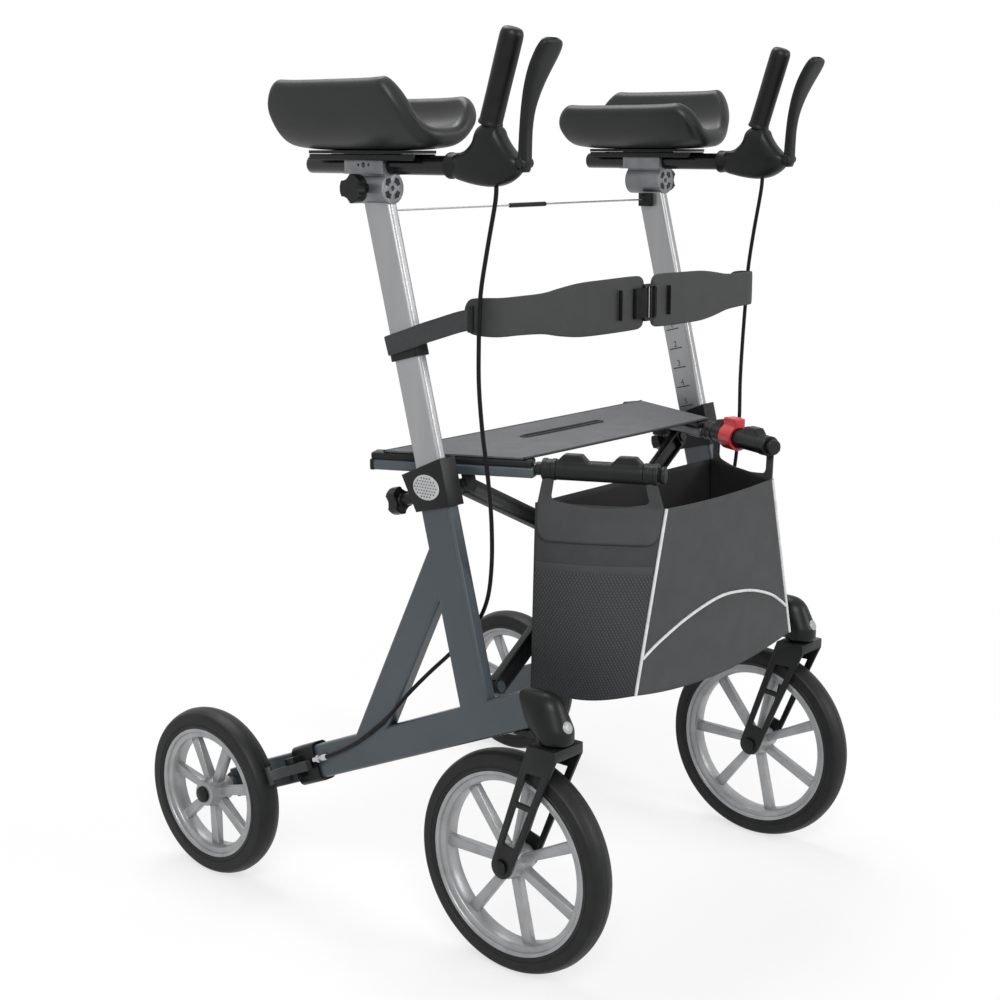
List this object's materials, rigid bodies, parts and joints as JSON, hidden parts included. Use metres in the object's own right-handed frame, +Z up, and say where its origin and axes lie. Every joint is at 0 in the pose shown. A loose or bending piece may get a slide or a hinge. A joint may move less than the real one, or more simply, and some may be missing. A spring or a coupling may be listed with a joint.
{
  "type": "upright walker",
  "caption": "Upright folding walker with forearm rests, hand grips and brakes, leaning side frames, a seat, a front bag and large wheels.",
  "frame": {"origin": "on the floor under the middle of the object, between the wheels", "axes": "+Z up, -Y forward, +X to the walker's left"},
  "size_m": [0.7554, 0.8109, 1.1971],
  "materials": {
    "frame_paint": "satin powder coat",
    "post_anodised": "satin anodised",
    "bracket_cast": "bead blasted die casting",
    "black_plastic": "fine grain moulding",
    "rim_plastic": "light grey moulding",
    "tyre_foam": "matt foam tyre",
    "grip_rubber": "smooth soft rubber",
    "pad_skin": "skinned foam",
    "steel": "zinc plated",
    "bar_coat": "black coated tube",
    "seat_fabric": "woven sheet",
    "bag_fabric": "woven with mesh sides",
    "strap_fabric": "woven band",
    "cable_sheath": "smooth sheath",
    "latch_red": "moulded",
    "rail_paint": "satin powder coat"
  },
  "bodies": {
    "right_frame": {"right_side_frame": "frame_paint", "right_caster_housing": "black_plastic", "right_collar": "black_plastic", "right_axle_arm": "frame_paint", "right_brake_clamp": "black_plastic", "right_brake_cable": "cable_sheath"},
    "right_post": {"right_height_post": "post_anodised", "right_strap_ring": "black_plastic", "right_arm_bracket": "bracket_cast", "right_pad_plate": "black_plastic", "right_forearm_pad": "pad_skin", "backrest_strap": "strap_fabric", "strap_buckle": "black_plastic", "tie_wire": "steel"},
    "right_arm": {"right_handlebar": "bar_coat", "right_grip_housing": "black_plastic", "right_hand_grip": "grip_rubber"},
    "right_lever": {"right_brake_lever": "black_plastic"},
    "right_brake": {"right_brake_arm": "black_plastic"},
    "right_height_knob": {"right_collar_knob": "black_plastic"},
    "right_reach_knob": {"right_bracket_knob": "black_plastic"},
    "right_caster": {"right_fork": "black_plastic", "right_front_axle": "steel"},
    "right_front_wheel": {"right_front_rim": "rim_plastic", "right_front_tyre": "tyre_foam"},
    "right_rear_wheel": {"right_rear_rim": "rim_plastic", "right_rear_tyre": "tyre_foam"},
    "left_frame": {"left_side_frame": "frame_paint", "left_caster_housing": "black_plastic", "left_collar": "black_plastic", "left_axle_arm": "frame_paint", "left_brake_clamp": "black_plastic", "left_brake_cable": "cable_sheath"},
    "left_post": {"left_height_post": "post_anodised", "left_strap_ring": "black_plastic", "left_arm_bracket": "bracket_cast", "left_pad_plate": "black_plastic", "left_forearm_pad": "pad_skin"},
    "left_arm": {"left_handlebar": "bar_coat", "left_grip_housing": "black_plastic", "left_hand_grip": "grip_rubber"},
    "left_lever": {"left_brake_lever": "black_plastic"},
    "left_brake": {"left_brake_arm": "black_plastic"},
    "left_height_knob": {"left_collar_knob": "black_plastic"},
    "left_reach_knob": {"left_bracket_knob": "black_plastic"},
    "left_caster": {"left_fork": "black_plastic", "left_front_axle": "steel"},
    "left_front_wheel": {"left_front_rim": "rim_plastic", "left_front_tyre": "tyre_foam"},
    "left_rear_wheel": {"left_rear_rim": "rim_plastic", "left_rear_tyre": "tyre_foam"},
    "front_bar": {"front_cross_bar": "steel", "cross_pin": "steel"},
    "rear_bar": {"rear_cross_bar": "steel"},
    "right_rail": {"right_seat_rail": "rail_paint", "seat_sheet": "seat_fabric", "bag": "bag_fabric"},
    "left_rail": {"left_seat_rail": "rail_paint"},
    "latch": {"fold_latch": "latch_red"}
  },
  "joints": [
    {"name": "fold", "type": "hinge", "parent": "right_frame", "child": "front_bar", "pos_m": [-0.271, -0.19177, 0.365], "axis": [0, -0.9686, 0.2487], "range_deg": [0, 33], "deforming": ["seat_sheet", "bag", "backrest_strap", "strap_buckle", "tie_wire"]},
    {"name": "brace_cross", "type": "hinge", "parent": "front_bar", "child": "rear_bar", "pos_m": [0, -0.15654, 0.50222], "axis": [0, -0.9686, 0.2487], "range_deg": [-66, 0]},
    {"name": "left_frame_fold", "type": "hinge", "parent": "rear_bar", "child": "left_frame", "pos_m": [0.271, -0.19177, 0.365], "axis": [0, -0.9686, 0.2487], "range_deg": [0, 33]},
    {"name": "left_rail_fold", "type": "hinge", "parent": "front_bar", "child": "left_rail", "pos_m": [0.23556, -0.12591, 0.6215], "axis": [0, -0.9686, 0.2487], "range_deg": [-33, 0]},
    {"name": "right_rail_fold", "type": "hinge", "parent": "rear_bar", "child": "right_rail", "pos_m": [-0.23556, -0.12591, 0.6215], "axis": [0, -0.9686, 0.2487], "range_deg": [0, 33]},
    {"name": "right_height", "type": "slide", "parent": "right_frame", "child": "right_post", "axis": [0, 0.2487, 0.9686], "range_m": [-0.075, 0.1], "deforming": ["right_brake_cable"]},
    {"name": "right_reach", "type": "slide", "parent": "right_post", "child": "right_arm", "axis": [0, -1, 0], "range_m": [-0.018, 0.05]},
    {"name": "right_lever_pull", "type": "hinge", "parent": "right_arm", "child": "right_lever", "pos_m": [-0.302, -0.272, 1.038], "axis": [-1, 0, 0], "range_deg": [0, 11], "stiffness_Nm_per_rad": 2, "springref_deg": -17.19},
    {"name": "right_brake_swing", "type": "hinge", "parent": "right_frame", "child": "right_brake", "pos_m": [-0.325, 0.13138, 0.1883], "axis": [0, -0.3907, -0.9205], "range_deg": [0, 8], "stiffness_Nm_per_rad": 1, "springref_deg": -17.19},
    {"name": "right_height_knob_turn", "type": "hinge", "parent": "right_frame", "child": "right_height_knob", "pos_m": [-0.301, -0.08572, 0.60796], "axis": [0, 0.9686, -0.2487], "range_deg": [0, 360]},
    {"name": "right_reach_knob_turn", "type": "hinge", "parent": "right_post", "child": "right_reach_knob", "pos_m": [-0.322, -0.026, 1.005], "axis": [-1, 0, 0], "range_deg": [0, 360]},
    {"name": "right_caster_swivel", "type": "hinge", "parent": "right_frame", "child": "right_caster", "pos_m": [-0.298, -0.3225, 0.325], "axis": [0, 0, 1], "continuous": true},
    {"name": "right_front_roll", "type": "hinge", "parent": "right_caster", "child": "right_front_wheel", "pos_m": [-0.298, -0.2555, 0.15], "axis": [1, 0, 0], "continuous": true},
    {"name": "right_rear_roll", "type": "hinge", "parent": "right_frame", "child": "right_rear_wheel", "pos_m": [-0.3455, 0.2805, 0.125], "axis": [1, 0, 0], "continuous": true},
    {"name": "left_height", "type": "slide", "parent": "left_frame", "child": "left_post", "axis": [0, 0.2487, 0.9686], "range_m": [-0.075, 0.1], "deforming": ["left_brake_cable"]},
    {"name": "left_reach", "type": "slide", "parent": "left_post", "child": "left_arm", "axis": [0, -1, 0], "range_m": [-0.018, 0.05]},
    {"name": "left_lever_pull", "type": "hinge", "parent": "left_arm", "child": "left_lever", "pos_m": [0.302, -0.272, 1.038], "axis": [-1, 0, 0], "range_deg": [0, 11], "stiffness_Nm_per_rad": 2, "springref_deg": -17.19},
    {"name": "left_brake_swing", "type": "hinge", "parent": "left_frame", "child": "left_brake", "pos_m": [0.325, 0.13138, 0.1883], "axis": [0, 0.3907, 0.9205], "range_deg": [0, 8], "stiffness_Nm_per_rad": 1, "springref_deg": -17.19},
    {"name": "left_height_knob_turn", "type": "hinge", "parent": "left_frame", "child": "left_height_knob", "pos_m": [0.301, -0.08572, 0.60796], "axis": [0, 0.9686, -0.2487], "range_deg": [0, 360]},
    {"name": "left_reach_knob_turn", "type": "hinge", "parent": "left_post", "child": "left_reach_knob", "pos_m": [0.322, -0.026, 1.005], "axis": [1, 0, 0], "range_deg": [0, 360]},
    {"name": "left_caster_swivel", "type": "hinge", "parent": "left_frame", "child": "left_caster", "pos_m": [0.298, -0.3225, 0.325], "axis": [0, 0, 1], "continuous": true},
    {"name": "left_front_roll", "type": "hinge", "parent": "left_caster", "child": "left_front_wheel", "pos_m": [0.298, -0.2555, 0.15], "axis": [1, 0, 0], "continuous": true},
    {"name": "left_rear_roll", "type": "hinge", "parent": "left_frame", "child": "left_rear_wheel", "pos_m": [0.3455, 0.2805, 0.125], "axis": [1, 0, 0], "continuous": true},
    {"name": "latch_turn", "type": "hinge", "parent": "left_rail", "child": "latch", "pos_m": [0.17094, -0.27452, 0.648], "axis": [-0.3987, -0.9171, 0], "range_deg": [0, 90]}
  ],
  "couplings": [
    {"joint": "brace_cross", "follows": "fold", "ratio": -2},
    {"joint": "left_frame_fold", "follows": "fold", "ratio": 1},
    {"joint": "left_rail_fold", "follows": "fold", "ratio": -1},
    {"joint": "right_rail_fold", "follows": "fold", "ratio": 1},
    {"joint": "right_brake_swing", "follows": "right_lever_pull", "ratio": 0.72727},
    {"joint": "left_brake_swing", "follows": "left_lever_pull", "ratio": 0.72727},
    {"joint": "left_height", "follows": "right_height", "ratio": 1}
  ]
}
